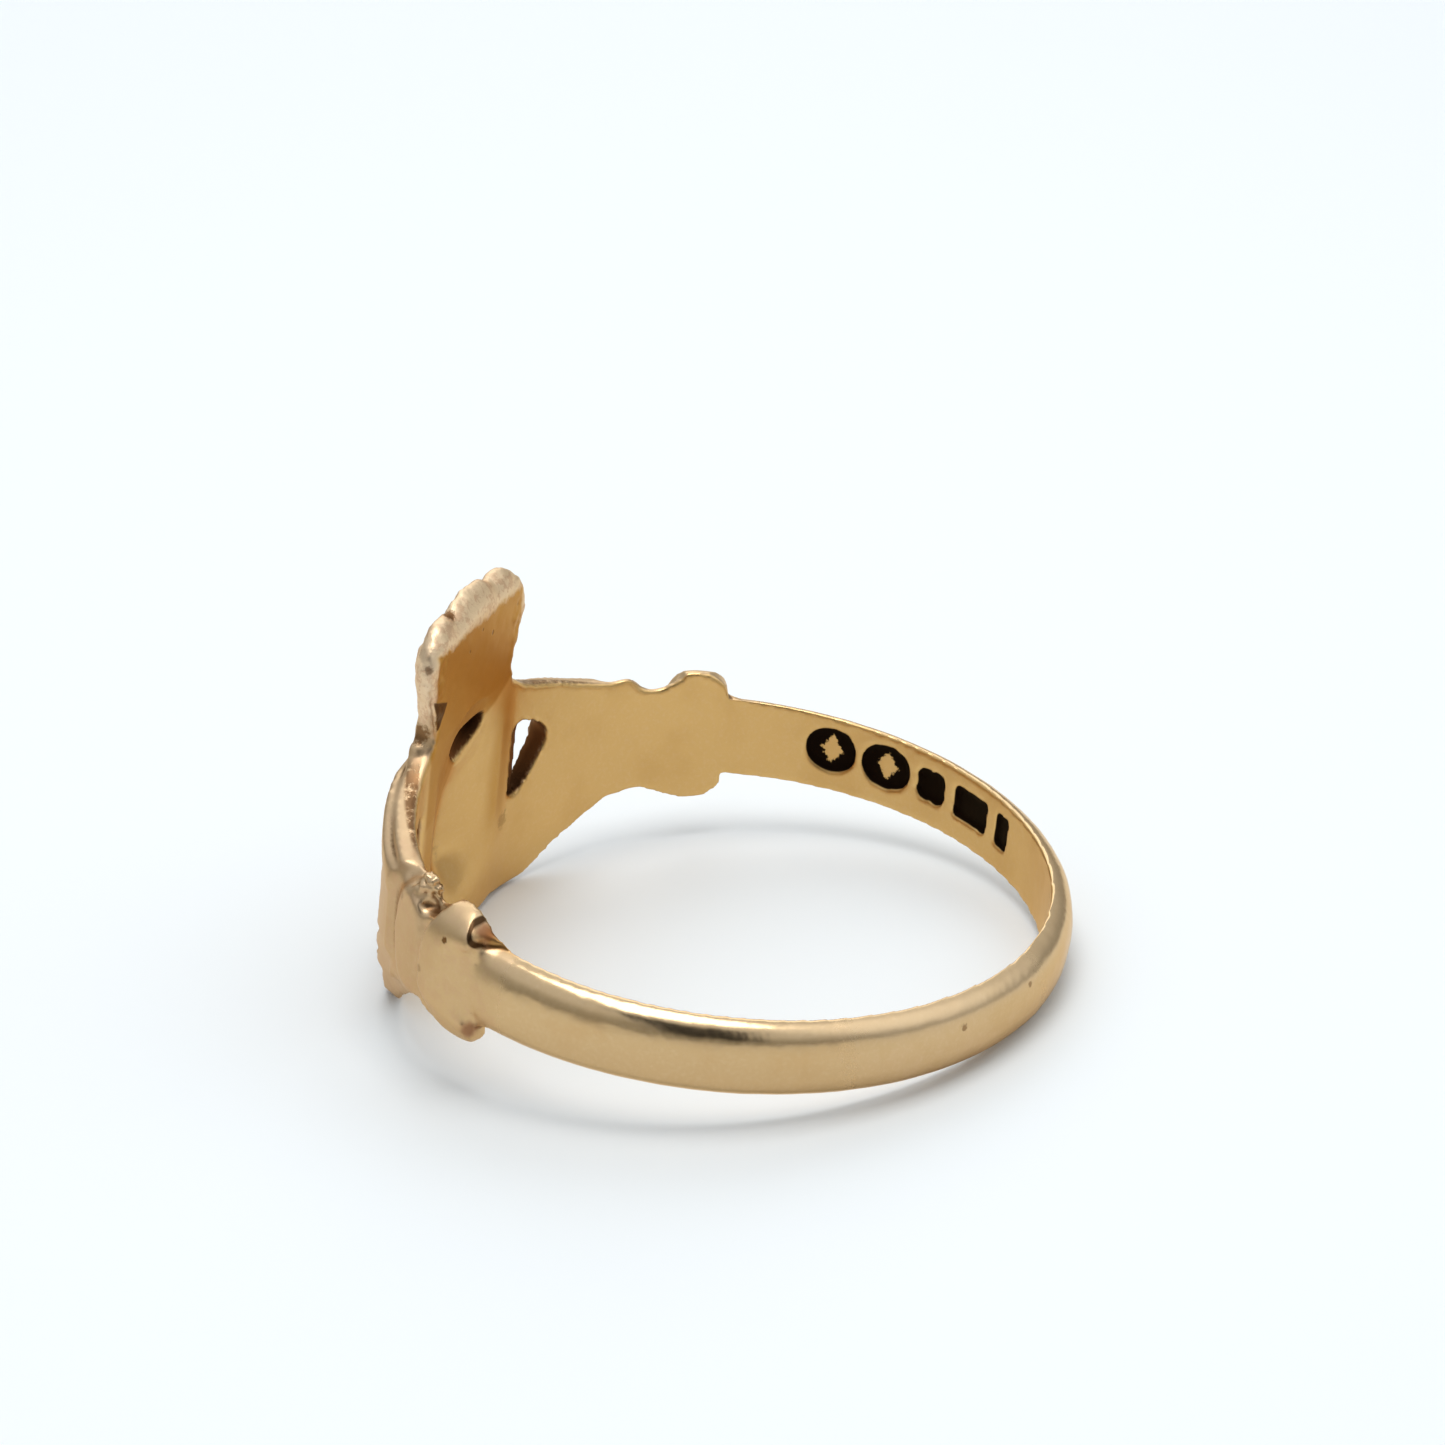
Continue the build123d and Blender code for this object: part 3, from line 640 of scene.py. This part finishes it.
    matte = look["headRoughness"] * head * outer + 0.15 * inside + 0.08 * pale
    matte = matte + 0.2 * opening + 0.25 * sunk + 0.12 * rubbed
    roughness = look["roughness"] + 0.06 * cloud + 0.12 * fine + matte - 0.03 * edge
    height = 0.5 * cloud + 0.22 * mottle + 0.10 * fine + 0.02 * scratch - 1.5 * (dark - hollowShade) - crease
    height = height + pale * (1.5 * fine + 2.0 * mottle) + 0.5 * rubbed * mottle - 0.8 * groove
    depth = look["bumpDepth"] * millimetre
    normal = paint.node("Bump", None, {"Strength": look["bump"], "Distance": depth, "Height": height})
    return paint.finish({
        "Base Color": colour,
        "Metallic": 1.0,
        "Specular Tint": look["glancing"],
        "Roughness": roughness,
        "Normal": normal,
    })


gold = goldMaterial(goldLook)
body.data.materials.clear()
body.data.materials.append(gold)
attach(body, "root")
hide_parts("claddagh_ring")
print("gold done")

# Floor, lights and camera

floorLook = {
    "size": 8.0,
    "colour": shade(238, 241, 243),
    "roughness": 0.6,
}


def makeFloor(look):
    half = look["size"] / 2
    corners = [(-half, -half, 0), (half, -half, 0), (half, half, 0), (-half, half, 0)]
    mesh = bpy.data.meshes.new("floor")
    mesh.from_pydata(corners, [], [(0, 1, 2, 3)])
    floor = bpy.data.objects.new("floor", mesh)
    bpy.context.scene.collection.objects.link(floor)
    paint = Paint(bpy.data.materials.new("paleFloor"))
    mesh.materials.append(paint.finish({"Base Color": look["colour"], "Roughness": look["roughness"]}))


makeFloor(floorLook)
print("floor laid")

lampAim = (0, 0, 0.004)
lamps = {
    "overhead": {"place": (0.01, 0.01, 0.22), "size": 0.12, "watts": 0.20, "colour": (1.0, 0.99, 0.97)},
    "window": {"place": (-0.20, -0.10, 0.16), "size": 0.20, "watts": 0.14, "colour": (0.95, 0.98, 1.0)},
}
for name, lamp in lamps.items():
    light = bpy.data.lights.new(name, "AREA")
    light.size = lamp["size"]
    light.energy = lamp["watts"]
    light.color = lamp["colour"]
    holder = bpy.data.objects.new(name, light)
    holder.location = lamp["place"]
    holder.rotation_euler = (Vector(lampAim) - Vector(lamp["place"])).to_track_quat("-Z", "Y").to_euler()
    bpy.context.scene.collection.objects.link(holder)

room = {
    "colour": (0.92, 0.97, 1.0, 1.0),
    "low": 0.40,
    "high": 0.74,
    "rise": (0.1, 0.7),
    "darkSide": 22.0,             # azimuth of the darker part of the room, in degrees
    "darkHalf": (0.20, 0.34),     # sines of half its width, where it is darkest and where it ends
    "darkFoot": (0.08, 0.28),
    "darkTop": (0.78, 0.90),
    "darkShare": 0.95,
    "glowWay": (-0.28, 0.69, 0.67),
    "glowEdge": (0.80, 0.98),
    "glow": 0.5,
}


def makeRoom(look):
    world = bpy.data.worlds.new("studio")
    paint = Paint(world)
    where = paint.node("TexCoord")
    azimuth = radians(look["darkSide"])
    height = paint.along(where, (0, 0, 1))
    ahead = paint.between(paint.along(where, (cos(azimuth), sin(azimuth), 0)), 0.0, 0.2)
    aside = paint.sums("ABSOLUTE", paint.along(where, (-sin(azimuth), cos(azimuth), 0)), 0)
    dark = ahead * (1 - paint.between(aside, *look["darkHalf"]))
    dark = dark * (1 - paint.between(height, *look["darkTop"])) * paint.between(height, *look["darkFoot"])
    level = paint.between(height, *look["rise"]) * (look["high"] - look["low"]) + look["low"]
    level = level + paint.between(paint.along(where, look["glowWay"]), *look["glowEdge"]) * look["glow"]
    strength = level * (1 - look["darkShare"] * dark)
    light = paint.node("Background", None, {"Color": look["colour"], "Strength": strength})
    paint.node("OutputWorld", None, {"Surface": light})
    bpy.context.scene.world = world


makeRoom(room)
bpy.context.scene.view_settings.view_transform = "Standard"
print("lights done")

# The camera in the ring's frame, in millimetres
cameraPlace = {
    "right": (-0.3727, 0.9224, 0.1015),
    "up": (-0.3913, -0.2555, 0.8840),
    "back": (0.8414, 0.2897, 0.4561),
    "from": (115.3, 39.08, 67.46),
    "lens": 124.57,
    "sensor": 36,
}
camera = bpy.data.objects.new("camera", bpy.data.cameras.new("camera"))
bpy.context.scene.collection.objects.link(camera)
cameraTurn = Matrix([np.array(cameraPlace[way]) @ ringTurn for way in ("right", "up", "back")]).transposed()
camera.matrix_world = Matrix.Translation(fromRing(np.array(cameraPlace["from"]))) @ cameraTurn.to_4x4()
camera.data.lens = cameraPlace["lens"]
camera.data.sensor_width = cameraPlace["sensor"]
camera.data.clip_start = 0.01
bpy.context.scene.camera = camera
print("camera set")
